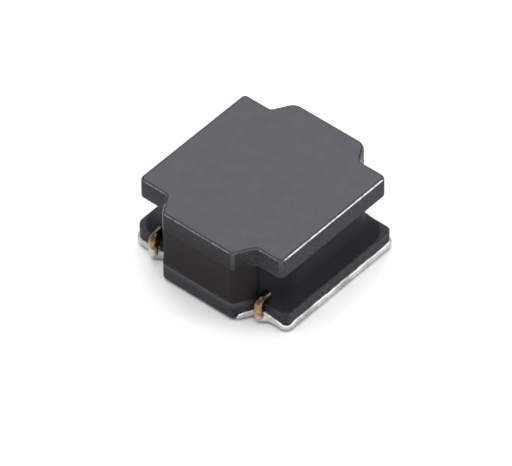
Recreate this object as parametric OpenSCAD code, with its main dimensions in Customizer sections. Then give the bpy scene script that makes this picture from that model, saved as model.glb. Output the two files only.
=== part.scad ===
// Resin-shielded wire-wound power inductor for surface mounting.
// A one-piece ferrite drum core carries a round post between two flanges, copper wire is wound
// on the post, magnetic resin closes the window, and each wire end lies in a soldered groove
// under the bottom flange. +Z is up, the origin is the middle of the footprint, and the solder
// undersides lie at z = 0. All lengths are in millimetres.

/* [Drum core] */
// Overall height, from the solder undersides to the top face
body_h = 1.8; // [1.7:0.05:2.2]
// Length of the top flange along X
top_x = 3.66; // [3.6:0.02:3.8]
// Thickness of the top flange
top_t = 0.45; // [0.35:0.01:0.5]
// Length of the bottom flange along X, without its coating
base_x = 3.92; // [3.84:0.02:4.1]
// Thickness of the bottom flange
base_t = 0.42; // [0.36:0.01:0.5]
// Depth of both flanges along Y at their ends, beside the notches
wing_y = 3.16; // [3.1:0.02:3.3]
// Depth of both flanges along Y across their middle bulges
bulge_y = 4.04; // [3.9:0.02:4.2]
// Width of a bulge at its root
bulge_root = 2.3; // [2.2:0.02:2.36]
// Width of a bulge at its tip
bulge_tip = 1.78; // [1.6:0.02:1.9]
// How far the front bulge sits to the right of the middle
bulge_shift = 0.05; // [0:0.01:0.06]
// Corner radius of the top flange, seen from above
top_corner_r = 0.14; // [0.1:0.01:0.3]
// Radius of the top flange's back left corner, which is left sharper
sharp_corner_r = 0.1; // [0.08:0.01:0.3]
// Radius of the bottom flange's two left corners, seen from above
base_left_r = 0.25; // [0.1:0.01:0.35]
// Radius of its two right corners, seen from above
base_right_r = 0.13; // [0.1:0.01:0.2]
// Corner radius at the front bulge's tip, seen from above
tip_r = 0.12; // [0.06:0.01:0.2]
// Corner radius at the back bulge's tip, seen from above
back_tip_r = 0.24; // [0.1:0.01:0.26]
// Radius in the corner of a notch, seen from above
notch_r = 0.1; // [0.08:0.01:0.2]
// Rounding of the outer edges of both flanges
outer_edge_r = 0.05; // [0.04:0.01:0.09]
// Rounding of the edges that face the resin
inner_edge_r = 0.02; // [0.01:0.005:0.04]
// Diameter of the post
post_d = 1.5; // [1.3:0.02:1.5]
// Fillet between the post and the flanges
post_fillet = 0.06; // [0.02:0.01:0.08]

/* [Winding] */
// Diameter of the enamelled wire
wire_d = 0.19; // [0.16:0.005:0.19]
// Distance from one turn to the next
turn_pitch = 0.2; // [0.195:0.005:0.2]
// Layers of turns from the post outwards
layers = 4; // [3:1:4]
// Rows of turns from the bottom flange upwards
rows = 4; // [3:1:4]
// Room between the wire and the pieces that it passes
wire_clear = 0.02; // [0.015:0.005:0.03]
// Distance of each wire end from the middle, along X
lead_x = 1.35; // [1.35:0.01:1.45]
// Bend radius of the wire ends, at the middle of the wire
lead_bend_r = 0.13; // [0.12:0.005:0.135]
// How far each wire end runs along its groove past the middle
lead_run = 1.2; // [0.6:0.1:1.3]

/* [Shield resin] */
// How far the resin's ends stand back from the top flange's ends, at mid height
resin_back_x = 0.08; // [0.02:0.01:0.1]
// How far the resin stands back from the flange beside the notches, at mid height
resin_back_y = 0.06; // [0.02:0.01:0.1]
// Radius of the resin's back corners at mid height, seen from above
resin_corner_r = 0.82; // [0.5:0.02:0.9]
// Radius of its front corners at mid height, which are fuller round the wire ends
resin_front_r = 0.68; // [0.5:0.02:0.8]
// Corner radius of the resin's foot, seen from above
foot_corner_r = 0.5; // [0.3:0.02:0.6]
// Corner radius of the foot at the front right corner, where it has run out further
foot_front_r = 0.24; // [0.2:0.02:0.5]
// How far the foot stands back from the bottom flange's ends
foot_back = 0.04; // [0.02:0.01:0.1]
// Height of the foot's hollow flare
foot_h = 0.22; // [0.1:0.01:0.25]

/* [Terminals] */
// Distance from the middle to the inner edge of each terminal
pad_inner_x = 1.04; // [0.98:0.02:1.14]
// Thickness of the fired silver layer
silver_t = 0.015; // [0.01:0.005:0.02]
// Thickness of the solder over the silver
solder_t = 0.025; // [0.02:0.005:0.04]
// Height to which the solder climbs the flange's sides
climb_h = 0.21; // [0.19:0.01:0.25]
// How far the silver stays below the solder's upper rim
silver_drop = 0.03; // [0.02:0.01:0.05]
// Depth of the wire grooves in the bottom flange
groove_depth = 0.22; // [0.21:0.005:0.23]
// Width of the wire grooves
groove_w = 0.28; // [0.26:0.01:0.32]
// Height of the solder fillet beside the wire
fillet_h = 0.28; // [0.26:0.01:0.32]
// Reach of the solder fillet to each side of the wire
fillet_reach = 0.28; // [0.2:0.01:0.32]

/* [Hidden] */
corner_steps = 4;    // flat steps in each corner, seen from above
edge_steps = 3;      // flat steps in each rounded edge
plain_edge = 0.04;   // an edge that is rounded by less than this is one flat step
round_steps = 64;    // flats round the post and the bore where they are drawn flat-sided
wire_sides = 8;      // flats round the wire
turn_steps = 22;     // straight steps in one turn
bend_steps = 4;      // straight steps in one bend
lead_steps = 10;     // straight steps from the winding to the first bend
fall_start = 0.35;   // where a wire end starts to come down to the first row, as a share of its
fall_share = 0.5;    // straight run, and over how much of that run it comes down
over = 0.2;          // how far cutting shapes run past what they cut

coat_t = silver_t + solder_t;
base_z = coat_t;                      // underside of the bottom flange
floor_z = base_z + base_t;            // floor of the winding window
roof_z = body_h - top_t;              // roof of the winding window
silver_top_z = climb_h - silver_drop;
wire_r = wire_d / 2;
grip_r = wire_r / cos(180 / wire_sides);         // a flat-sided bore that the wire just fills
post_r = post_d / 2;
inner_turn_r = post_r + wire_clear / 2 + wire_r;
outer_turn_r = inner_turn_r + (layers - 1) * turn_pitch;
window_r = outer_turn_r + wire_r + wire_clear;   // the resin's bore round the winding
first_row_z = floor_z + wire_clear + wire_r;

// The wire ends hang in front of the flange and then lie in their grooves.
lead_y = wing_y / 2 + silver_t + wire_clear + wire_r;
groove_roof_z = base_z + groove_depth;
groove_wire_z = groove_roof_z - silver_t - wire_clear - wire_r;
bend_y = lead_y - lead_bend_r;

// Angle at which a wire end leaves the outer layer in a straight line for its notch
lead_angle = atan2(-bend_y, lead_x) + acos(outer_turn_r / norm([lead_x, bend_y]));
part_turn = (180 - 2 * lead_angle) / 360;        // from one wire end round to the other
spiral_turns = layers - 1;                       // the bottom row runs in to the post
layer_turns = rows - 2;                          // each layer above it runs up or down
step_turns = part_turn / layers;                 // the wire's change from layer to layer
total_turns = spiral_turns + layers * (layer_turns + step_turns);

// ---- outlines -------------------------------------------------------------------------------

function unit(v) = v / norm(v);
function turned(v, a) = [v.x * cos(a) - v.y * sin(a), v.x * sin(a) + v.y * cos(a)];

// Points along the arc that rounds corner b between its neighbours a and c
function corner_arc(a, b, c, r) =
    let (u = unit(a - b), v = unit(c - b), half = acos(u * v) / 2,
         middle = b + unit(u + v) * r / sin(half),
         spoke = b + u * r / tan(half) - middle,
         sweep = (180 - 2 * half) * sign(cross(v, u)))
    [for (i = [0 : corner_steps]) middle + turned(spoke, sweep * i / corner_steps)];

function rounded(points, radii) =
    let (n = len(points))
    [for (i = [0 : n - 1])
        each corner_arc(points[(i + n - 1) % n], points[i], points[(i + 1) % n], radii[i])];

// A flange seen from above: two straight ends and a bulge with slanted sides at front and back.
// size is [length, wing depth, bulge depth], corners holds the radii of the front right, back
// right, back left and front left corner, and grow moves the whole outline outwards.
function flange_outline(size, corners, grow) =
    let (ends = size.x / 2 + grow, wing = size.y / 2 + grow, bulge = size.z / 2 + grow,
         slant = (bulge_tip - bulge_root) / (size.z - size.y),
         side = grow * (sqrt(1 + slant * slant) + slant),
         root = bulge_root / 2 + side, tip = bulge_tip / 2 + side,
         t = tip_r + grow, u = back_tip_r + grow, n = notch_r - grow,
         c = [for (r = corners) r + grow])
    rounded([[bulge_shift - tip, -bulge], [bulge_shift + tip, -bulge],
             [bulge_shift + root, -wing], [ends, -wing],
             [ends, wing], [root, wing], [tip, bulge], [-tip, bulge],
             [-root, wing], [-ends, wing], [-ends, -wing], [bulge_shift - root, -wing]],
            [t, t, n, c[0], c[1], n, u, u, n, c[2], c[3], n]);

function at_height(outline, z) = [for (p = outline) [p.x, p.y, z]];

// A closed solid through a stack of outlines that all have as many points
module loft(rings) {
    n = len(rings[0]);
    top = len(rings) - 1;
    points = [for (r = rings) each r, [0, 0, rings[0][0].z], [0, 0, rings[top][0].z]];
    sides = [for (j = [0 : top - 1], i = [0 : n - 1])
        let (a = j * n + i, b = j * n + (i + 1) % n)
        each [[a, a + n, b + n], [a, b + n, b]]];
    caps = [for (i = [0 : n - 1])
        let (k = (i + 1) % n)
        each [[(top + 1) * n, i, k], [(top + 1) * n + 1, top * n + k, top * n + i]]];
    polyhedron(points, concat(sides, caps));
}

function edge_angles(r) =
    let (steps = r < plain_edge ? 1 : edge_steps) [for (i = [0 : steps]) 90 * i / steps];

// A flange-shaped plate from z0 to z1 with its lower and upper edges rounded
module plate(size, corners, z0, z1, low_r, high_r, grow = 0) {
    loft(concat(
        [for (a = edge_angles(low_r))
            at_height(flange_outline(size, corners, grow - low_r * (1 - sin(a))),
                      z0 + low_r * (1 - cos(a)))],
        [for (a = edge_angles(high_r))
            at_height(flange_outline(size, corners, grow - high_r * (1 - cos(a))),
                      z1 - high_r * (1 - sin(a)))]));
}

// ---- drum core ------------------------------------------------------------------------------

module bottom_plate(grow = 0, z1 = floor_z, high_r = inner_edge_r) {
    plate([base_x, wing_y, bulge_y], [base_right_r, base_right_r, base_left_r, base_left_r],
          base_z - grow, z1, outer_edge_r + grow, high_r, grow);
}

// The post, with a fillet into each flange
module post() {
    arc = [for (i = [0 : edge_steps * 2]) 90 * i / (edge_steps * 2)];
    rotate_extrude($fn = round_steps)
        polygon(concat(
            [[0, floor_z - inner_edge_r], [post_r + post_fillet, floor_z - inner_edge_r]],
            [for (a = arc) [post_r + post_fillet * (1 - sin(a)),
                            floor_z + post_fillet * (1 - cos(a))]],
            [for (a = arc) [post_r + post_fillet * (1 - cos(a)),
                            roof_z - post_fillet * (1 - sin(a))]],
            [[post_r + post_fillet, roof_z + inner_edge_r], [0, roof_z + inner_edge_r]]));
}

// The space of one wire groove, narrowed all round by inset
module groove(side, inset = 0) {
    w = groove_w - 2 * inset;
    translate([side * lead_x - w / 2, -wing_y / 2 - over, base_z - over])
        cube([w, wing_y + 2 * over, over + groove_depth - inset]);
}

module drum_core() {
    color([0.36, 0.37, 0.4])
    difference() {
        union() {
            bottom_plate();
            plate([top_x, wing_y, bulge_y],
                  [top_corner_r, top_corner_r, sharp_corner_r, top_corner_r],
                  roof_z, body_h, inner_edge_r, outer_edge_r);
            post();
        }
        for (side = [-1, 1]) groove(side);
    }
}

// ---- winding --------------------------------------------------------------------------------

function row_z(row) = first_row_z + row * turn_pitch;
function eased(f) = let (g = min(1, max(0, f))) g * g * (3 - 2 * g);

// Turn count, layer and row at each place where the wire changes its run: in along the bottom
// row, then up and down between the second row and the top one, layer by layer.
stations = concat(
    [[0, layers - 1, 0], [spiral_turns, 0, 0]],
    [for (k = [0 : layers - 1])
        let (start = spiral_turns + step_turns * (k + 1) + layer_turns * k,
             rising = k % 2 == 0)
        each [[start, k, rising ? 1 : rows - 1],
              [start + layer_turns, k, rising ? rows - 1 : 1]]]);
layer_table = [for (s = stations) [s[0], s[1]]];
row_table = [for (s = stations) [s[0], s[2]]];
last_row = stations[len(stations) - 1][2];

function turn_point(t) =
    let (a = lead_angle + 360 * t, r = inner_turn_r + lookup(t, layer_table) * turn_pitch)
    [r * cos(a), r * sin(a), row_z(lookup(t, row_table))];

function arc_yz(y, z, from, to) =
    [for (i = [0 : bend_steps]) let (a = from + (to - from) * i / bend_steps)
        [lead_x, y + lead_bend_r * cos(a), z + lead_bend_r * sin(a)]];

// The straight run from the winding, which comes down to the first row before its notch
function lead_straight(row) =
    let (start = outer_turn_r * [cos(lead_angle), sin(lead_angle)], end = [lead_x, -bend_y])
    [for (i = [1 : lead_steps - 1])
        let (f = i / lead_steps, p = start + (end - start) * f)
        [p.x, p.y, row_z(row * (1 - eased((f - fall_start) / fall_share)))]];

// One wire end on the +X side: straight out, down in front of the flange and along the groove
function lead(row) = concat(
    lead_straight(row),
    arc_yz(-bend_y, first_row_z - lead_bend_r, 90, 180),
    arc_yz(-bend_y, groove_wire_z + lead_bend_r, 180, 270),
    [[lead_x, lead_run, groove_wire_z]]);

function mirrored(points) = [for (p = points) [-p.x, p.y, p.z]];
function backwards(points) = [for (i = [len(points) - 1 : -1 : 0]) points[i]];

wire_path = concat(
    backwards(lead(0)),
    [for (i = [0 : turn_steps * ceil(total_turns)])
        turn_point(total_turns * i / (turn_steps * ceil(total_turns)))],
    mirrored(lead(last_row)));

// A round bar along a path; each ring is carried on from the one before, so it never twists
module bar(path, r) {
    n = len(path);
    along = [for (i = [0 : n - 1]) unit(path[min(i + 1, n - 1)] - path[max(i - 1, 0)])];
    square_to = function (v, t) unit(v - (v * t) * t);
    first = square_to(abs(along[0].z) > 0.9 ? [1, 0, 0] : [0, 0, 1], along[0]);
    across = [for (i = 0, v = first; i < n;
                   i = i + 1, v = i < n ? square_to(v, along[i]) : v) v];
    points = [for (i = [0 : n - 1], k = [0 : wire_sides - 1])
        let (a = 360 * (k + 0.5) / wire_sides)
        path[i] + r * (across[i] * cos(a) + cross(along[i], across[i]) * sin(a))];
    walls = [for (i = [0 : n - 2], k = [0 : wire_sides - 1])
        let (a = i * wire_sides + k, b = i * wire_sides + (k + 1) % wire_sides)
        each [[a, a + wire_sides, b + wire_sides], [a, b + wire_sides, b]]];
    ends = [[for (k = [0 : wire_sides - 1]) k],
            [for (k = [wire_sides - 1 : -1 : 0]) (n - 1) * wire_sides + k]];
    polyhedron(points, concat(walls, ends));
}

module winding() {
    color([0.72, 0.42, 0.2]) bar(wire_path, wire_r);
}

// ---- shield resin ---------------------------------------------------------------------------

// The resin's main body at one height, seen from above: a box with rounded corners
function body_outline(back_x, back_y, corners) =
    let (x = top_x / 2 - back_x, y = wing_y / 2 - back_y)
    rounded([[x, -y], [x, y], [-x, y], [-x, -y]], corners);

// Its middle strip, which fills both bulges flush with the flanges
function strip_outline() =
    let (root = bulge_root / 2, tip = bulge_tip / 2, wing = wing_y / 2, bulge = bulge_y / 2)
    rounded([[bulge_shift - tip, -bulge], [bulge_shift + tip, -bulge],
             [bulge_shift + root, -wing], [root, wing],
             [tip, bulge], [-tip, bulge], [-root, wing], [bulge_shift - root, -wing]],
            [tip_r, tip_r, notch_r, notch_r, back_tip_r, back_tip_r, notch_r, notch_r]);

// The bore that the resin keeps round one wire end, out to beyond the resin's face
module lead_bore(row) {
    start = outer_turn_r * [cos(lead_angle), sin(lead_angle)];
    bar(concat([[start.x, start.y, row_z(row)]], lead_straight(row),
               [[lead_x, -bend_y - over, first_row_z]]), grip_r);
}

// The main body, with a hollow flare at its foot where the resin has run out over the flange
module resin_body() {
    body = [resin_front_r, resin_corner_r, resin_corner_r, resin_front_r];
    foot = [foot_front_r, foot_corner_r, foot_corner_r, foot_corner_r];
    flare_x = base_x / 2 - foot_back - (top_x / 2 - resin_back_x);
    loft(concat(
        [for (i = [0 : edge_steps])
            let (f = i / edge_steps, flare = 1 - sin(90 * f))
            at_height(body_outline(resin_back_x - flare_x * flare, resin_back_y * (1 - flare),
                                   body + (foot - body) * flare),
                      floor_z + foot_h * f)],
        [at_height(body_outline(resin_back_x, resin_back_y, body), roof_z)]));
}

module shield_resin() {
    color([0.2, 0.19, 0.21])
    difference() {
        union() {
            resin_body();
            translate([0, 0, floor_z]) linear_extrude(roof_z - floor_z) polygon(strip_outline());
        }
        translate([0, 0, floor_z - over]) cylinder(r = window_r, h = body_h, $fn = round_steps);
        lead_bore(0);
        mirror([1, 0, 0]) lead_bore(last_row);
    }
}

// ---- terminals ------------------------------------------------------------------------------

// The end of the body that one terminal covers, on the side given by side
module terminal_zone(side, inner = pad_inner_x) {
    translate([side > 0 ? inner : -inner - base_x, -bulge_y, -over])
        cube([base_x, 2 * bulge_y, body_h]);
}

// A skin of the given thickness over the flange's end, with the wire groove filled
module filled_skin(side, thickness, top_z, top_r, inner) {
    intersection() {
        union() {
            bottom_plate(thickness, top_z, top_r);
            translate([side * lead_x - groove_w / 2, -wing_y / 2, base_z + outer_edge_r])
                cube([groove_w, wing_y, groove_depth - outer_edge_r]);
        }
        terminal_zone(side, inner);
    }
}

module silver(side) {
    color([0.62, 0.62, 0.6])
    difference() {
        filled_skin(side, silver_t, silver_top_z, silver_t / 2, pad_inner_x);
        difference() {
            bottom_plate();
            groove(side);
        }
        groove(side, silver_t);
    }
}

// What lies under the solder: the flange and its silver, with the lined groove open
module silvered_plate(side) {
    difference() {
        union() {
            bottom_plate();
            intersection() {
                bottom_plate(silver_t, silver_top_z, silver_t / 2);
                terminal_zone(side, pad_inner_x);
            }
        }
        groove(side, silver_t);
    }
}

// The solder that stands between the wire end and the flange, to both sides of the wire
module solder_fillet(side) {
    front = wing_y / 2;
    hull() {
        translate([side * lead_x - fillet_reach, -front - coat_t, 0])
            cube([2 * fillet_reach, coat_t, climb_h - solder_t]);
        translate([side * lead_x - wire_r, -lead_y, 0]) cube([wire_d, coat_t, fillet_h]);
    }
}

module solder(side) {
    color([0.8, 0.8, 0.77])
    difference() {
        union() {
            filled_skin(side, coat_t, climb_h, solder_t, pad_inner_x - solder_t);
            solder_fillet(side);
        }
        silvered_plate(side);
        mirror([side > 0 ? 0 : 1, 0, 0]) bar(lead(0), grip_r);
    }
}

module silver_left() silver(-1);
module silver_right() silver(1);
module solder_left() solder(-1);
module solder_right() solder(1);

drum_core();
winding();
shield_resin();
silver_left();
silver_right();
solder_left();
solder_right();
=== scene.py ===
import math

import bmesh
import bpy
from mathutils import Matrix, Vector


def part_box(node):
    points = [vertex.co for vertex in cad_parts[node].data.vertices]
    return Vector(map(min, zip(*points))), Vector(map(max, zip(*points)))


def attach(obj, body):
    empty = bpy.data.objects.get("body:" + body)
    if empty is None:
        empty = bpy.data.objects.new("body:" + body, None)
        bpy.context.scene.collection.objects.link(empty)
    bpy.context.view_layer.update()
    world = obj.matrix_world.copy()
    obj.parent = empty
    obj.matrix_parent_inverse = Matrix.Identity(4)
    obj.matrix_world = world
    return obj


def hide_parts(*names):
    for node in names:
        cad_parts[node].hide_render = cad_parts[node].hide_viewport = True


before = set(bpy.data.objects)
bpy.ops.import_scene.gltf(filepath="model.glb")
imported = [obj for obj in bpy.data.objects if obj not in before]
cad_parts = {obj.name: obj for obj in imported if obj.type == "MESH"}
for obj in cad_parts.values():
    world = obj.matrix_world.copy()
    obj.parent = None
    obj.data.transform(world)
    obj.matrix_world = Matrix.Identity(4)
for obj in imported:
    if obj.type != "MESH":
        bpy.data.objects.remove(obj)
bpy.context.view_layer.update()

# ---- sizes, in metres ---------------------------------------------------------------------------

MM = 0.001
core_low, core_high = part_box("drum_core")
resin_low, resin_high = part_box("shield_resin")

# Drum core
top_z, base_z = core_high.z, core_low.z
floor_z, roof_z = resin_low.z, resin_high.z      # of the winding window
base_half_x = core_high.x
bulge_half_y = core_high.y
top_half_x = 1.83 * MM
wing_half_y = 1.58 * MM
bulge_root, bulge_tip = 1.15 * MM, 0.89 * MM     # half widths
bulge_shift = 0.05 * MM                          # the front bulge sits that far to the right
top_corner_r, sharp_corner_r = 0.14 * MM, 0.1 * MM
base_left_r, base_right_r = 0.25 * MM, 0.13 * MM
tip_r, back_tip_r, notch_r = 0.12 * MM, 0.24 * MM, 0.1 * MM
outer_edge_r, inner_edge_r = 0.05 * MM, 0.01 * MM
top_edge_r = 0.06 * MM
post_r, post_fillet = 0.75 * MM, 0.06 * MM
groove_depth, groove_w = 0.22 * MM, 0.28 * MM

# Winding
wire_r = 0.095 * MM
turn_pitch = 0.2 * MM
layers, rows = 4, 4
wire_clear = 0.02 * MM
lead_x = 1.35 * MM
lead_bend_r = 0.13 * MM
lead_run = 1.2 * MM

# Shield resin
resin_back_x, resin_back_y = 0.08 * MM, 0.06 * MM
resin_corner_r, resin_front_r = 0.82 * MM, 0.68 * MM
foot_corner_r, foot_front_r = 0.5 * MM, 0.24 * MM
foot_h = 0.22 * MM
resin_sag = 0.02 * MM                            # how far the cured faces draw in

# Terminals
pad_inner_x = 1.04 * MM
silver_t, solder_t = 0.015 * MM, 0.025 * MM
coat_t = silver_t + solder_t
climb_h = 0.21 * MM
silver_drop = 0.03 * MM

lead_y = wing_half_y + silver_t + wire_clear + wire_r
bend_y = lead_y - lead_bend_r
groove_wire_z = base_z + groove_depth - silver_t - wire_clear - wire_r
first_row_z = floor_z + wire_clear + wire_r
inner_turn_r = post_r + wire_clear / 2 + wire_r
outer_turn_r = inner_turn_r + (layers - 1) * turn_pitch
window_r = outer_turn_r + wire_r + wire_clear


# ---- camera, floor and lights -------------------------------------------------------------------

def aim_matrix(back, roll):
    """Axes of something that looks along -back, level with the horizon and then rolled."""
    right = back.cross(Vector((0, 0, 1))).normalized() * -1
    up = back.cross(right)
    turned_right = right * math.cos(roll) + up * math.sin(roll)
    turned_up = up * math.cos(roll) - right * math.sin(roll)
    return Matrix((turned_right, turned_up, back)).transposed()


def direction(azimuth, elevation):
    """Unit vector towards a place that is seen at that azimuth and elevation, in degrees."""
    a, e = math.radians(azimuth), math.radians(elevation)
    return Vector((math.sin(a) * math.cos(e), -math.cos(a) * math.cos(e), math.sin(e)))


def add_camera():
    azimuth, elevation, roll = 41.19, 44.11, -0.63
    distance = 148.9 * MM
    aim_right, aim_up = -0.137 * MM, -0.434 * MM
    camera = bpy.data.objects.new("camera", bpy.data.cameras.new("camera"))
    bpy.context.scene.collection.objects.link(camera)
    camera.data.lens = 538.2
    camera.data.sensor_width = 36
    camera.data.clip_start, camera.data.clip_end = 5 * MM, 5.0
    back = direction(azimuth, elevation)
    axes = aim_matrix(back, math.radians(roll))
    aim = Vector((0, 0, top_z / 2))
    place = aim + axes @ Vector((aim_right, aim_up, distance))
    camera.matrix_world = Matrix.Translation(place) @ axes.to_4x4()
    bpy.context.scene.camera = camera


def add_softbox(name, azimuth, elevation, distance, width, height, radiance, tint=(1, 1, 1)):
    """A soft light that faces the object from that side. radiance is its brightness as seen."""
    light = bpy.data.lights.new(name, "AREA")
    light.shape = "RECTANGLE"
    light.size, light.size_y = width, height
    light.energy = radiance * math.pi * width * height
    light.color = tint
    lamp = bpy.data.objects.new(name, light)
    bpy.context.scene.collection.objects.link(lamp)
    back = direction(azimuth, elevation)
    lamp.matrix_world = Matrix.Translation(back * distance) @ aim_matrix(back, 0).to_4x4()


def add_studio():
    world = bpy.data.worlds.new("studio")
    bpy.context.scene.world = world
    world.use_nodes = True
    background = world.node_tree.nodes["Background"]
    background.inputs["Color"].default_value = (1, 1, 1, 1)
    background.inputs["Strength"].default_value = 0.75
    add_softbox("softbox_top", 0, 88, 0.30, 0.30, 0.30, 2.0)
    add_softbox("softbox_sheen", 221, 44, 0.30, 0.24, 0.20, 1.8, (0.88, 0.94, 1.0))
    add_softbox("softbox_rim", 128, 28, 0.30, 0.09, 0.05, 13.0, (0.93, 0.95, 1.0))
    add_softbox("softbox_front_edge", -34, 33, 0.30, 0.06, 0.05, 1.6)
    bpy.context.scene.view_settings.view_transform = "Standard"


def add_floor():
    shape = bmesh.new()
    bmesh.ops.create_grid(shape, x_segments=1, y_segments=1, size=1.0)
    bmesh.ops.translate(shape, verts=shape.verts, vec=(0, 0, -0.002 * MM))
    floor = mesh_object("floor", shape)
    floor.data.materials.append(new_finish("pale_floor", (0.9, 0.9, 0.9), 0.8)[0])


# ---- materials ----------------------------------------------------------------------------------

def new_finish(name, color, roughness, metallic=0.0, specular=0.5, coat=0.0, coat_roughness=0.1):
    """A material with its constant values set; returns it, its node tree and its surface."""
    material = bpy.data.materials.new(name)
    material.use_nodes = True
    surface = material.node_tree.nodes["Principled BSDF"]
    surface.inputs["Base Color"].default_value = (*color, 1)
    surface.inputs["Roughness"].default_value = roughness
    surface.inputs["Metallic"].default_value = metallic
    surface.inputs["Specular IOR Level"].default_value = specular
    surface.inputs["Coat Weight"].default_value = coat
    surface.inputs["Coat Roughness"].default_value = coat_roughness
    return material, material.node_tree, surface


def object_place(tree):
    return tree.nodes.new("ShaderNodeTexCoord").outputs["Object"]


def taken_apart(tree, place):
    """The x, y and z of a place."""
    parts = tree.nodes.new("ShaderNodeSeparateXYZ")
    tree.links.new(place, parts.inputs["Vector"])
    return parts.outputs["X"], parts.outputs["Y"], parts.outputs["Z"]


def grain(tree, place, size, detail=3.0, seed=0.0):
    """A cloudy pattern whose spots are about that size."""
    noise = tree.nodes.new("ShaderNodeTexNoise")
    noise.noise_dimensions = "4D"
    noise.inputs["W"].default_value = seed
    noise.inputs["Scale"].default_value = 1 / size
    noise.inputs["Detail"].default_value = detail
    noise.inputs["Roughness"].default_value = 0.6
    tree.links.new(place, noise.inputs["Vector"])
    return noise.outputs["Fac"]


def ramp(tree, value, start, end, low, high):
    """value, with start to end stretched over low to high and held beyond them."""
    node = tree.nodes.new("ShaderNodeMapRange")
    for key, number in (("From Min", start), ("From Max", end), ("To Min", low), ("To Max", high)):
        node.inputs[key].default_value = number
    tree.links.new(value, node.inputs["Value"])
    return node.outputs["Result"]


def reckon(tree, operation, *values):
    node = tree.nodes.new("ShaderNodeMath")
    node.operation = operation
    for socket, value in zip(node.inputs, values):
        if isinstance(value, float):
            socket.default_value = value
        else:
            tree.links.new(value, socket)
    return node.outputs["Value"]


def tinted(tree, factor, first, second):
    """first turning into second as factor goes from 0 to 1; each is a colour or a socket."""
    node = tree.nodes.new("ShaderNodeMix")
    node.data_type = "RGBA"
    tree.links.new(factor, node.inputs["Factor"])
    sockets = [s for s in node.inputs if s.type == "RGBA"]
    for socket, color in zip(sockets, (first, second)):
        if isinstance(color, tuple):
            socket.default_value = (*color, 1)
        else:
            tree.links.new(color, socket)
    return next(s for s in node.outputs if s.type == "RGBA")


def relief(tree, surface, height, depth, strength=1.0):
    bump = tree.nodes.new("ShaderNodeBump")
    bump.inputs["Distance"].default_value = depth
    bump.inputs["Strength"].default_value = strength
    tree.links.new(height, bump.inputs["Height"])
    tree.links.new(bump.outputs["Normal"], surface.inputs["Normal"])


def sintered_ferrite():
    """The sides as they leave the furnace: speckled grain; over the middle of each long side the
    top flange goes darker towards the resin below, and a painted highlight band runs along the
    lower flange."""
    material, tree, surface = new_finish("sintered_ferrite", (0.03, 0.03, 0.033), 0.45, 0, 0.12)
    place = object_place(tree)
    y, z = taken_apart(tree, place)[1:]
    speck = grain(tree, place, 0.045 * MM, 2.0)
    cloud = grain(tree, place, 0.22 * MM, 3.0, 2.0)
    color = tinted(tree, ramp(tree, speck, 0.36, 0.66, 0.0, 1.0),
                   (0.009, 0.009, 0.010), (0.054, 0.052, 0.061))
    color = tinted(tree, ramp(tree, cloud, 0.42, 0.66, 0.0, 0.5), color, (0.026, 0.023, 0.030))
    ragged = reckon(tree, "MULTIPLY_ADD", cloud, 0.12 * MM, z)
    middle = ramp(tree, reckon(tree, "ABSOLUTE", y), wing_half_y + 0.08 * MM,
                  wing_half_y + 0.2 * MM, 0.0, 1.0)
    # Darker towards the resin below, on the top flange's bulge and notch faces.
    darker_low = reckon(tree, "MULTIPLY", middle, ramp(tree, ragged, roof_z + 0.12 * MM,
                                                  top_z - 0.02 * MM, 0.95, 0.0))
    above = reckon(tree, "GREATER_THAN", z, roof_z - 0.01 * MM)
    color = tinted(tree, reckon(tree, "MULTIPLY", darker_low, above), color, (0.011, 0.008, 0.009))
    # Painted highlight: a lighter band towards the top of the lower flange's bulge faces.
    painted_highlight = reckon(tree, "MULTIPLY", middle, ramp(tree, ragged, floor_z - 0.1 * MM,
                                                   floor_z + 0.03 * MM, 0.0, 0.75))
    below = reckon(tree, "LESS_THAN", z, floor_z + 0.01 * MM)
    color = tinted(tree, reckon(tree, "MULTIPLY", painted_highlight, below), color, (0.070, 0.066, 0.070))
    tree.links.new(color, surface.inputs["Base Color"])
    tree.links.new(ramp(tree, speck, 0.3, 0.7, 0.36, 0.56), surface.inputs["Roughness"])
    relief(tree, surface, speck, 0.007 * MM, 0.9)
    return material


def ground_ferrite():
    """The flat faces, ground and lapped: bluish, a little glossier, softly mottled."""
    material, tree, surface = new_finish("ground_ferrite", (0.02, 0.022, 0.027), 0.42, 0, 0.5)
    place = object_place(tree)
    speck = grain(tree, place, 0.05 * MM, 2.0, 4.0)
    cloud = grain(tree, place, 0.3 * MM, 4.0, 5.0)
    color = tinted(tree, ramp(tree, cloud, 0.38, 0.64, 0.0, 1.0),
                   (0.015, 0.019, 0.026), (0.030, 0.033, 0.043))
    color = tinted(tree, ramp(tree, speck, 0.5, 0.75, 0.0, 0.5), color, (0.008, 0.009, 0.013))
    tree.links.new(color, surface.inputs["Base Color"])
    tree.links.new(ramp(tree, cloud, 0.35, 0.65, 0.40, 0.46), surface.inputs["Roughness"])
    relief(tree, surface, speck, 0.001 * MM, 0.5)
    return material


def worn_ferrite_edge():
    """The edge round the top face, polished bright by tumbling and broken here and there."""
    material, tree, surface = new_finish("worn_ferrite_edge", (0.05, 0.05, 0.055), 0.2, 0, 0.9)
    place = object_place(tree)
    speck = grain(tree, place, 0.09 * MM, 3.0, 7.0)
    wear = ramp(tree, speck, 0.4, 0.66, 0.0, 1.0)
    color = tinted(tree, wear, (0.058, 0.058, 0.062), (0.008, 0.008, 0.010))
    tree.links.new(color, surface.inputs["Base Color"])
    tree.links.new(ramp(tree, speck, 0.42, 0.70, 0.14, 0.30), surface.inputs["Roughness"])
    relief(tree, surface, speck, 0.001 * MM, 0.3)
    return material


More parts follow.
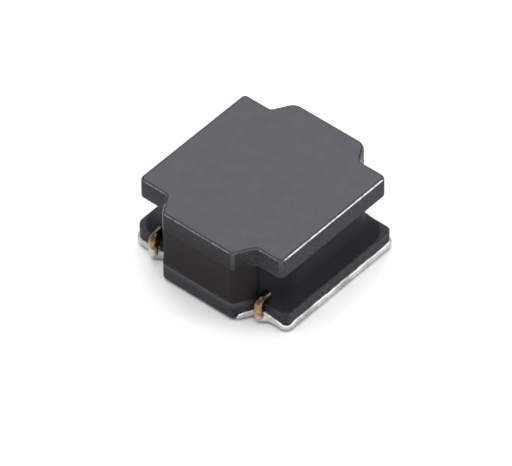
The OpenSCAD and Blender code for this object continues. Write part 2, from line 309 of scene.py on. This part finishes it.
def ferrite_corner_painted_highlight():
    """The upright corners of the top flange, with a painted highlight that fades downward."""
    material, tree, surface = new_finish("ferrite_corner_painted_highlight", (0.09, 0.09, 0.095), 0.42, 0, 0.2)
    place = object_place(tree)
    z = taken_apart(tree, place)[2]
    speck = grain(tree, place, 0.06 * MM, 3.0, 12.0)
    # Painted highlight: broken up by the grain and fading towards the bottom of the flange.
    highlight_mask = reckon(tree, "MULTIPLY", ramp(tree, speck, 0.36, 0.6, 0.35, 1.0),
                   ramp(tree, z, roof_z + 0.08 * MM, top_z - 0.06 * MM, 0.1, 1.0))
    color = tinted(tree, highlight_mask, (0.022, 0.021, 0.024), (0.078, 0.076, 0.082))
    tree.links.new(color, surface.inputs["Base Color"])
    tree.links.new(ramp(tree, speck, 0.35, 0.65, 0.32, 0.5), surface.inputs["Roughness"])
    relief(tree, surface, speck, 0.004 * MM, 0.6)
    return material


def shield_resin_finish():
    """Cured resin filled with powder: nearly black with fine grains, browner on the bulges, and
    painted darker and bluer away from them as shade under the top flange's overhang.
    """
    material, tree, surface = new_finish("shield_resin", (0.013, 0.011, 0.012), 0.62, 0, 0.14)
    place = object_place(tree)
    y = taken_apart(tree, place)[1]
    speck = grain(tree, place, 0.04 * MM, 3.0, 1.0)
    cloud = grain(tree, place, 0.35 * MM, 3.0, 3.0)
    # Painted shade: darker and bluer away from the bulges, where the resin lies under the top
    # flange's overhang.
    outward = reckon(tree, "MULTIPLY_ADD", cloud, 0.3 * MM, reckon(tree, "ABSOLUTE", y))
    color = tinted(tree, ramp(tree, outward, wing_half_y - 0.05 * MM, wing_half_y + 0.35 * MM,
                              0.0, 1.0), (0.0075, 0.0075, 0.0098), (0.0138, 0.0106, 0.0112))
    color = tinted(tree, ramp(tree, speck, 0.52, 0.74, 0.0, 0.6), color, (0.024, 0.022, 0.026))
    tree.links.new(color, surface.inputs["Base Color"])
    tree.links.new(ramp(tree, speck, 0.3, 0.7, 0.54, 0.74), surface.inputs["Roughness"])
    relief(tree, surface, speck, 0.005 * MM, 0.6)
    return material


def enamelled_copper():
    """Copper under clear brown enamel, tinned where it dips into the solder, and painted dark where
    it leaves the resin as the shade under the top flange."""
    material, tree, surface = new_finish("enamelled_copper", (0.4, 0.18, 0.07), 0.25, 1.0, 0.5,
                                         0.7, 0.12)
    place = object_place(tree)
    x, y, z = taken_apart(tree, place)
    cloud = grain(tree, place, 0.08 * MM, 3.0, 6.0)
    enamel = tinted(tree, ramp(tree, cloud, 0.35, 0.65, 0.0, 1.0),
                    (0.20, 0.080, 0.022), (0.50, 0.31, 0.17))
    tin_line = reckon(tree, "MULTIPLY_ADD", cloud, 0.08 * MM,
                      ramp(tree, x, -0.2 * MM, 0.2 * MM, 0.30 * MM, 0.19 * MM))
    over_tin = reckon(tree, "SUBTRACT", z, tin_line)
    color = tinted(tree, ramp(tree, over_tin, -0.02 * MM, 0.03 * MM, 1.0, 0.0), enamel,
                   (0.62, 0.54, 0.46))
    # Painted shade: the wire goes dark high up and where it is tucked in under the top flange.
    painted_shade_high = ramp(tree, reckon(tree, "MULTIPLY_ADD", cloud, 0.06 * MM, z), 0.48 * MM, 0.66 * MM,
                   0.0, 0.97)
    painted_shade_under = ramp(tree, y, -wing_half_y - 0.19 * MM, -wing_half_y - 0.07 * MM, 0.0, 0.97)
    color = tinted(tree, reckon(tree, "MAXIMUM", painted_shade_high, painted_shade_under), color, (0.03, 0.014, 0.009))
    tree.links.new(color, surface.inputs["Base Color"])
    tree.links.new(ramp(tree, cloud, 0.3, 0.7, 0.18, 0.36), surface.inputs["Roughness"])
    relief(tree, surface, cloud, 0.003 * MM, 0.4)
    return material


def fired_silver():
    """Silver paste after firing: pale, porous and dull."""
    material, tree, surface = new_finish("fired_silver", (0.5, 0.5, 0.48), 0.6, 0.7, 0.5)
    place = object_place(tree)
    speck = grain(tree, place, 0.03 * MM, 3.0, 8.0)
    color = tinted(tree, ramp(tree, speck, 0.35, 0.65, 0.0, 1.0),
                   (0.34, 0.34, 0.33), (0.60, 0.60, 0.57))
    tree.links.new(color, surface.inputs["Base Color"])
    tree.links.new(ramp(tree, speck, 0.3, 0.7, 0.5, 0.75), surface.inputs["Roughness"])
    relief(tree, surface, speck, 0.004 * MM, 0.6)
    return material


def tin_solder():
    """Dipped tin solder: satin, with dull patches and lumps, and painted shade darkening its foot.
    """
    material, tree, surface = new_finish("tin_solder", (0.6, 0.6, 0.58), 0.35, 1.0, 0.5)
    place = object_place(tree)
    z = taken_apart(tree, place)[2]
    lump = grain(tree, place, 0.12 * MM, 3.0, 9.0)
    patch = grain(tree, place, 0.3 * MM, 4.0, 11.0)
    color = tinted(tree, ramp(tree, patch, 0.42, 0.6, 0.0, 1.0),
                   (0.66, 0.65, 0.62), (0.40, 0.40, 0.40))
    # Painted shade: darker towards the foot, where the solder meets the floor.
    foot = ramp(tree, reckon(tree, "MULTIPLY_ADD", lump, 0.05 * MM, z), 0.06 * MM, 0.13 * MM,
                0.8, 0.0)
    color = tinted(tree, foot, color, (0.20, 0.20, 0.20))
    tree.links.new(color, surface.inputs["Base Color"])
    tree.links.new(ramp(tree, patch, 0.35, 0.65, 0.26, 0.5), surface.inputs["Roughness"])
    relief(tree, surface, lump, 0.010 * MM, 0.5)
    return material


# ---- mesh helpers -------------------------------------------------------------------------------

def mesh_object(name, shape):
    """An object from a finished bmesh, which is used up."""
    mesh = bpy.data.meshes.new(name)
    shape.to_mesh(mesh)
    shape.free()
    piece = bpy.data.objects.new(name, mesh)
    bpy.context.scene.collection.objects.link(piece)
    return piece


def worked(piece, *steps):
    """piece with each (operation, other) step worked into its mesh; the others are left."""
    for operation, other in steps:
        modifier = piece.modifiers.new(operation.lower(), "BOOLEAN")
        modifier.operation = operation
        modifier.solver = "MANIFOLD"
        modifier.object = other
    bpy.context.view_layer.update()
    depsgraph = bpy.context.evaluated_depsgraph_get()
    mesh = bpy.data.meshes.new_from_object(piece.evaluated_get(depsgraph))
    mesh.materials.clear()
    piece.modifiers.clear()
    mesh.name = piece.name
    piece.data = mesh
    return piece


def bmesh_copy(piece):
    """A bmesh with the same shape as a piece."""
    shape = bmesh.new()
    shape.from_mesh(piece.data)
    return shape


def cleared(*tools):
    """Takes away the shapes that only served to work others."""
    for tool in tools:
        bpy.data.objects.remove(tool)


def smoothed(piece, angle):
    """Smooth shading that breaks at edges sharper than angle, in degrees."""
    piece.data.shade_smooth()
    piece.data.set_sharp_from_angle(angle=math.radians(angle))
    weighted = piece.modifiers.new("weighted_normals", "WEIGHTED_NORMAL")
    weighted.keep_sharp = True


def finished(piece, material_slot, *nodes):
    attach(piece, "root")
    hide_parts(*nodes)


# ---- outlines and plates ------------------------------------------------------------------------

def flange_corners(half_x, radii, grow):
    """The corners of a flange seen from above, each as x, y and radius. radii are those of the
    front right, back right, back left and front left corner."""
    slant = (bulge_tip - bulge_root) / (bulge_half_y - wing_half_y)
    side = grow * (math.hypot(1, slant) + slant)
    ends, wing, bulge = half_x + grow, wing_half_y + grow, bulge_half_y + grow
    root, tip = bulge_root + side, bulge_tip + side
    front, back, notch = tip_r + grow, back_tip_r + grow, notch_r - grow
    c = [r + grow for r in radii]
    shift = bulge_shift
    return [(shift - tip, -bulge, front), (shift + tip, -bulge, front),
            (shift + root, -wing, notch), (ends, -wing, c[0]), (ends, wing, c[1]),
            (root, wing, notch), (tip, bulge, back), (-tip, bulge, back), (-root, wing, notch),
            (-ends, wing, c[2]), (-ends, -wing, c[3]), (shift - root, -wing, notch)]


def prism(corners, z0, z1, segments=8):
    """A closed prism over an outline of corners, with each upright edge rounded by its radius."""
    shape = bmesh.new()
    ring = [shape.verts.new((x, y, z0)) for x, y, radius in corners]
    shape.faces.new(ring)
    lifted = bmesh.ops.extrude_face_region(shape, geom=shape.faces[:])
    raised = [v for v in lifted["geom"] if isinstance(v, bmesh.types.BMVert)]
    bmesh.ops.translate(shape, verts=raised, vec=(0, 0, z1 - z0))
    bmesh.ops.recalc_face_normals(shape, faces=shape.faces)
    uprights = [next(e for e in v.link_edges if abs(e.verts[0].co.z - e.verts[1].co.z) > 0.01 * MM)
                for v in ring]
    places = [Vector((x, y)) for x, y, radius in corners]
    for i, edge in enumerate(uprights):
        before = (places[i - 1] - places[i]).normalized()
        after = (places[(i + 1) % len(places)] - places[i]).normalized()
        half = math.acos(before.dot(after)) / 2
        bmesh.ops.bevel(shape, geom=[edge], offset=corners[i][2] / math.tan(half),
                        offset_type="OFFSET", affect="EDGES", segments=segments, profile=0.5,
                        material=-1)
    return shape


def round_rim(shape, z, radius, segments=5):
    """Rounds the edge all round a prism's end at that height."""
    rim = [e for e in shape.edges if all(abs(v.co.z - z) < 0.001 * MM for v in e.verts)]
    made = bmesh.ops.bevel(shape, geom=rim, offset=radius, offset_type="OFFSET", affect="EDGES",
                           segments=segments, profile=0.5, material=-1)
    return made["faces"]


def flange_plate(half_x, radii, z0, z1, low_r, high_r, grow=0.0, high_segments=5):
    shape = prism(flange_corners(half_x, radii, grow), z0, z1)
    round_rim(shape, z0, low_r)
    round_rim(shape, z1, high_r, high_segments)
    return shape


def box_shape(low, high):
    shape = bmesh.new()
    bmesh.ops.create_cube(shape, size=1.0)
    size = [b - a for a, b in zip(low, high)]
    bmesh.ops.scale(shape, verts=shape.verts, vec=size)
    bmesh.ops.translate(shape, verts=shape.verts, vec=(Vector(low) + Vector(high)) / 2)
    return shape


# ---- drum core ----------------------------------------------------------------------------------

base_radii = [base_right_r, base_right_r, base_left_r, base_left_r]


def base_plate(grow=0.0, z1=floor_z, high_r=inner_edge_r):
    return flange_plate(base_half_x, base_radii, base_z - grow, z1, outer_edge_r + grow, high_r,
                        grow)


def groove_tool(side, inset=0.0):
    """What cuts one wire groove, narrowed all round by inset."""
    half = groove_w / 2 - inset
    return mesh_object("groove", box_shape(
        (side * lead_x - half, -bulge_half_y, base_z - groove_depth),
        (side * lead_x + half, bulge_half_y, base_z + groove_depth - inset)))


def post_shape():
    """The post, spun from its profile, with a fillet into each flange."""
    shape = bmesh.new()
    sink = inner_edge_r
    wide = post_r + post_fillet
    profile = [(0, floor_z - sink), (wide, floor_z - sink), (wide, floor_z)]
    steps = 4
    for i in range(1, steps + 1):
        a = math.radians(90 * i / steps)
        profile.append((wide - post_fillet * math.sin(a),
                        floor_z + post_fillet * (1 - math.cos(a))))
    for i in range(steps + 1):
        a = math.radians(90 * i / steps)
        profile.append((wide - post_fillet * math.cos(a),
                        roof_z - post_fillet * (1 - math.sin(a))))
    profile += [(wide, roof_z + sink), (0, roof_z + sink)]
    ring = [shape.verts.new((r, 0, z)) for r, z in profile]
    edges = [shape.edges.new(pair) for pair in zip(ring, ring[1:])]
    bmesh.ops.spin(shape, geom=ring + edges, cent=(0, 0, 0), axis=(0, 0, 1), angle=math.tau,
                   steps=64, use_merge=True)
    bmesh.ops.remove_doubles(shape, verts=shape.verts, dist=0.001 * MM)
    bmesh.ops.recalc_face_normals(shape, faces=shape.faces)
    return shape


def is_upright_corner(mesh, face):
    """Whether a face of the top flange is one of the strips that round its outer corners."""
    spots = [mesh.vertices[i].co.xy for i in face.vertices]
    width = max((a - b).length for a in spots for b in spots)
    x, y = abs(face.center.x), abs(face.center.y)
    return (width < 0.03 * MM and min(abs(face.normal.x), abs(face.normal.y)) > 0.3
            and (x > top_half_x - top_corner_r or y > bulge_half_y - tip_r))


def make_core():
    core = mesh_object("ferrite_core", base_plate())
    top = mesh_object("top", flange_plate(
        top_half_x, [top_corner_r, top_corner_r, sharp_corner_r, top_corner_r],
        roof_z, top_z, inner_edge_r, top_edge_r, high_segments=3))
    post = mesh_object("post", post_shape())
    left, right = groove_tool(-1), groove_tool(1)
    worked(core, ("UNION", post), ("UNION", top), ("DIFFERENCE", left), ("DIFFERENCE", right))
    cleared(top, post, left, right)
    smoothed(core, 35)
    for make_finish in (sintered_ferrite, ground_ferrite, worn_ferrite_edge,
                        ferrite_corner_painted_highlight):
        core.data.materials.append(make_finish())
    ground, worn, painted_highlight = 1, 2, 3
    for face in core.data.polygons:
        height = face.center.z
        if abs(face.normal.z) > 0.99 and (height > top_z - 0.001 * MM
                                          or height < base_z + 0.001 * MM):
            face.material_index = ground
        elif height > top_z - top_edge_r and 0.6 < face.normal.z < 0.8:
            face.material_index = worn
            face.use_smooth = False
        # The outer upright corner strips take the painted highlight finish.
        elif height > roof_z and is_upright_corner(core.data, face):
            face.material_index = painted_highlight
    finished(core, "ferrite", "drum_core")
    return core


# ---- winding ------------------------------------------------------------------------------------

def eased(f):
    g = min(1.0, max(0.0, f))
    return g * g * (3 - 2 * g)


def between(t, table):
    """The value at t in a table of (t, value) pairs, in a straight line from pair to pair."""
    for (t0, v0), (t1, v1) in zip(table, table[1:]):
        if t <= t1:
            return v0 + (v1 - v0) * (t - t0) / (t1 - t0)
    return table[-1][1]


def wire_points():
    """The wire's whole run: one end's groove, the turns layer by layer, the other end's groove."""
    lead_angle = (math.atan2(-bend_y, lead_x)
                  + math.acos(outer_turn_r / math.hypot(lead_x, bend_y)))
    part_turn = (math.pi - 2 * lead_angle) / math.tau
    spiral_turns, layer_turns = layers - 1, rows - 2
    step_turns = part_turn / layers
    total_turns = spiral_turns + layers * (layer_turns + step_turns)
    stations = [(0.0, layers - 1, 0), (spiral_turns, 0, 0)]
    for k in range(layers):
        start = spiral_turns + step_turns * (k + 1) + layer_turns * k
        low, high = (1, rows - 1) if k % 2 == 0 else (rows - 1, 1)
        stations += [(start, k, low), (start + layer_turns, k, high)]
    layer_table = [(t, layer) for t, layer, row in stations]
    row_table = [(t, row) for t, layer, row in stations]

    def row_z(row):
        return first_row_z + row * turn_pitch

    def turn_point(t):
        a = lead_angle + math.tau * t
        r = inner_turn_r + between(t, layer_table) * turn_pitch
        return Vector((r * math.cos(a), r * math.sin(a), row_z(between(t, row_table))))

    def bend(z, start, end, steps=6):
        angles = [start + (end - start) * i / steps for i in range(steps + 1)]
        return [Vector((lead_x, lead_bend_r * math.cos(a) - bend_y, z + lead_bend_r * math.sin(a)))
                for a in angles]

    def lead(row, steps=10):
        start = Vector((math.cos(lead_angle), math.sin(lead_angle))) * outer_turn_r
        end = Vector((lead_x, -bend_y))
        run = []
        for i in range(1, steps):
            p = start.lerp(end, i / steps)
            run.append(Vector((p.x, p.y, row_z(row * (1 - eased((i / steps - 0.35) / 0.5))))))
        return (run + bend(first_row_z - lead_bend_r, math.pi / 2, math.pi)
                + bend(groove_wire_z + lead_bend_r, math.pi, 1.5 * math.pi)
                + [Vector((lead_x, lead_run, groove_wire_z))])

    count = 24 * math.ceil(total_turns)
    return (lead(0)[::-1] + [turn_point(total_turns * i / count) for i in range(count + 1)]
            + [Vector((-p.x, p.y, p.z)) for p in lead(stations[-1][2])])


def make_wire():
    """The wire as one round tube along its run."""
    points = wire_points()
    curve = bpy.data.curves.new("wire", "CURVE")
    curve.dimensions = "3D"
    spline = curve.splines.new("POLY")
    spline.points.add(len(points) - 1)
    for spot, point in zip(spline.points, points):
        spot.co = (*point, 1)
    curve.bevel_depth = wire_r
    curve.bevel_resolution = 6
    curve.use_fill_caps = True
    guide = bpy.data.objects.new("guide", curve)
    bpy.context.scene.collection.objects.link(guide)
    bpy.context.view_layer.update()
    depsgraph = bpy.context.evaluated_depsgraph_get()
    mesh = bpy.data.meshes.new_from_object(guide.evaluated_get(depsgraph))
    cleared(guide)
    shape = bmesh.new()
    shape.from_mesh(mesh)
    bmesh.ops.remove_doubles(shape, verts=shape.verts, dist=0.001 * MM)
    bmesh.ops.recalc_face_normals(shape, faces=shape.faces)
    wire = mesh_object("wire", shape)
    smoothed(wire, 50)
    wire.data.materials.append(enamelled_copper())
    finished(wire, "copper", "winding")
    return wire


# ---- shield resin -------------------------------------------------------------------------------

def resin_ring(shape, half_x, half_y, radii, z, segments=10):
    """A face with rounded corners at that height; returns the edges round it."""
    front_right, back_right, back_left, front_left = radii
    corners = [(half_x, -half_y, front_right), (half_x, half_y, back_right),
               (-half_x, half_y, back_left), (-half_x, -half_y, front_left)]
    ring = [shape.verts.new((x, y, z)) for x, y, radius in corners]
    shape.faces.new(ring)
    for vert, (x, y, radius) in zip(ring, corners):
        bmesh.ops.bevel(shape, geom=[vert], offset=radius, offset_type="OFFSET",
                        affect="VERTICES", segments=segments, profile=0.5, material=-1)
    return [e for e in shape.edges if all(abs(v.co.z - z) < 0.0001 * MM for v in e.verts)]


def resin_body():
    """The main body, with a hollow flare at its foot."""
    shape = bmesh.new()
    body = [resin_front_r, resin_corner_r, resin_corner_r, resin_front_r]
    foot = [foot_front_r, foot_corner_r, foot_corner_r, foot_corner_r]
    half_x, half_y = top_half_x - resin_back_x, wing_half_y - resin_back_y
    flare_x, flare_y = resin_high.x - half_x, resin_back_y
    loops = []
    steps = 6
    for i in range(steps + 1):
        flare = 1 - math.sin(math.radians(90 * i / steps))
        radii = [b + (f - b) * flare for b, f in zip(body, foot)]
        loops.append(resin_ring(shape, half_x + flare_x * flare, half_y + flare_y * flare, radii,
                                floor_z + foot_h * i / steps))
    loops.append(resin_ring(shape, half_x, half_y, body, roof_z))
    bmesh.ops.delete(shape, geom=[f for f in shape.faces
                                  if floor_z + 0.001 * MM < f.calc_center_median().z
                                  < roof_z - 0.001 * MM], context="FACES_ONLY")
    for lower, upper in zip(loops, loops[1:]):
        bmesh.ops.bridge_loops(shape, edges=lower + upper)
    bmesh.ops.recalc_face_normals(shape, faces=shape.faces)
    return shape


def resin_strip():
    """The middle strip, which fills both bulges between the flanges."""
    shift = bulge_shift
    shape = prism([(shift - bulge_tip, -bulge_half_y, tip_r),
                   (shift + bulge_tip, -bulge_half_y, tip_r),
                   (shift + bulge_root, -wing_half_y, notch_r),
                   (bulge_root, wing_half_y, notch_r), (bulge_tip, bulge_half_y, back_tip_r),
                   (-bulge_tip, bulge_half_y, back_tip_r), (-bulge_root, wing_half_y, notch_r),
                   (shift - bulge_root, -wing_half_y, notch_r)], floor_z, roof_z)
    uprights = [e for e in shape.edges if abs(e.verts[0].co.z - e.verts[1].co.z) > 0.01 * MM]
    bmesh.ops.subdivide_edges(shape, edges=uprights, cuts=9, use_grid_fill=True)
    for vert in shape.verts:
        f = (vert.co.z - floor_z) / (roof_z - floor_z)
        drawn = 1 - resin_sag * math.sin(math.pi * f) / bulge_half_y
        vert.co.x *= drawn
        vert.co.y *= drawn
    return shape


def make_resin(wire):
    resin = mesh_object("resin_fill", resin_body())
    strip = mesh_object("strip", resin_strip())
    shape = bmesh.new()
    bmesh.ops.create_cone(shape, cap_ends=True, segments=96, radius1=window_r, radius2=window_r,
                          depth=2 * top_z)
    bore = mesh_object("bore", shape)
    worked(resin, ("UNION", strip), ("DIFFERENCE", bore), ("DIFFERENCE", wire))
    cleared(strip, bore)
    smoothed(resin, 35)
    resin.data.materials.append(shield_resin_finish())
    finished(resin, "resin", "shield_resin")
    return resin


# ---- terminals ----------------------------------------------------------------------------------

def hill(distance, reach):
    return math.exp(-(distance / reach) ** 2)


def rim_height(x, y, side):
    """How high the solder climbs at that place on the flange's side."""
    out = abs(x)
    wave = 0.006 * MM * math.sin(y / (0.11 * MM) + side)
    ripple = 0.005 * MM * math.sin(y / (0.043 * MM))
    corner_dip = 0.045 * MM * hill(math.hypot(out - 1.93 * MM, y + 1.56 * MM), 0.16 * MM)
    notch_dip = 0.05 * MM * hill(math.hypot(out - 1.02 * MM, y + 1.98 * MM), 0.2 * MM)
    height = climb_h - 0.01 * MM + (wave + ripple) - corner_dip - notch_dip
    if y < 0:
        climb = 0.075 * MM if side > 0 else 0.13 * MM
        height += climb * hill(out - lead_x - 0.02 * MM, 0.14 * MM)
    return height


def coat_shape(side, thickness, drop, fillet):
    """A solid skin over one end of the bottom flange. Its rim lies drop below the solder's, and
    it swells by fillet round the wire."""
    nominal = climb_h
    shape = base_plate(thickness, nominal, 0.9 * thickness)
    inner = pad_inner_x - (thickness - silver_t)
    cut = bmesh.ops.bisect_plane(shape, geom=shape.verts[:] + shape.edges[:] + shape.faces[:],
                                 dist=0.0001 * MM, plane_co=(side * inner, 0, 0),
                                 plane_no=(-side, 0, 0), clear_outer=True)
    edges = [e for e in cut["geom_cut"] if isinstance(e, bmesh.types.BMEdge)]
    bmesh.ops.edgeloop_fill(shape, edges=edges)
    places = [(side * (pad_inner_x + 0.03 * MM * i), 0, 0) for i in range(1, 31)]
    slices = [(place, (1, 0, 0)) for place in places]
    slices += [((0, 0.08 * MM * i, 0), (0, 1, 0)) for i in range(-25, 26)]
    slices += [((0, 0, z * MM), (0, 0, 1)) for z in (0.12, 0.15, 0.18)]
    for place, normal in slices:
        bmesh.ops.bisect_plane(shape, geom=shape.verts[:] + shape.edges[:] + shape.faces[:],
                               dist=0.0001 * MM, plane_co=place, plane_no=normal)
    foot = base_z + outer_edge_r
    for vert in shape.verts:
        x, y, z = vert.co
        rim = rim_height(x, y, side) - drop
        f = max(0.0, (z - foot) / (nominal - foot))
        front = eased((-y - 1.45 * MM) / (0.15 * MM))
        near = hill(abs(x) - lead_x, 0.13 * MM)
        vert.co.z = z + f * (rim - nominal)
        vert.co.y = y - fillet * front * near * (1 - 0.45 * f * f)
    bmesh.ops.recalc_face_normals(shape, faces=shape.faces)
    return shape


def make_terminal(side, name, wire, finishes):
    plate = mesh_object("plate", base_plate())
    groove = groove_tool(side)
    worked(plate, ("DIFFERENCE", groove))
    lined = groove_tool(side, silver_t)
    silver = mesh_object("silver_paste_" + name, coat_shape(side, silver_t, silver_drop, 0.0))
    bed = mesh_object("bed", bmesh_copy(silver))
    worked(silver, ("DIFFERENCE", plate), ("DIFFERENCE", lined))
    worked(bed, ("UNION", plate), ("DIFFERENCE", lined))
    solder = mesh_object("solder_coat_" + name, coat_shape(side, coat_t, 0.0, 0.13 * MM))
    worked(solder, ("DIFFERENCE", bed), ("DIFFERENCE", wire))
    cleared(plate, groove, lined, bed)
    for piece, slot, finish in zip((silver, solder), ("silver", "solder"), finishes):
        smoothed(piece, 50)
        piece.data.materials.append(finish)
        finished(piece, slot, slot + "_" + name)


add_camera()
add_studio()
add_floor()
make_core()
wire = make_wire()
make_resin(wire)
terminal_finishes = [fired_silver(), tin_solder()]
for side, name in ((-1, "left"), (1, "right")):
    make_terminal(side, name, wire, terminal_finishes)
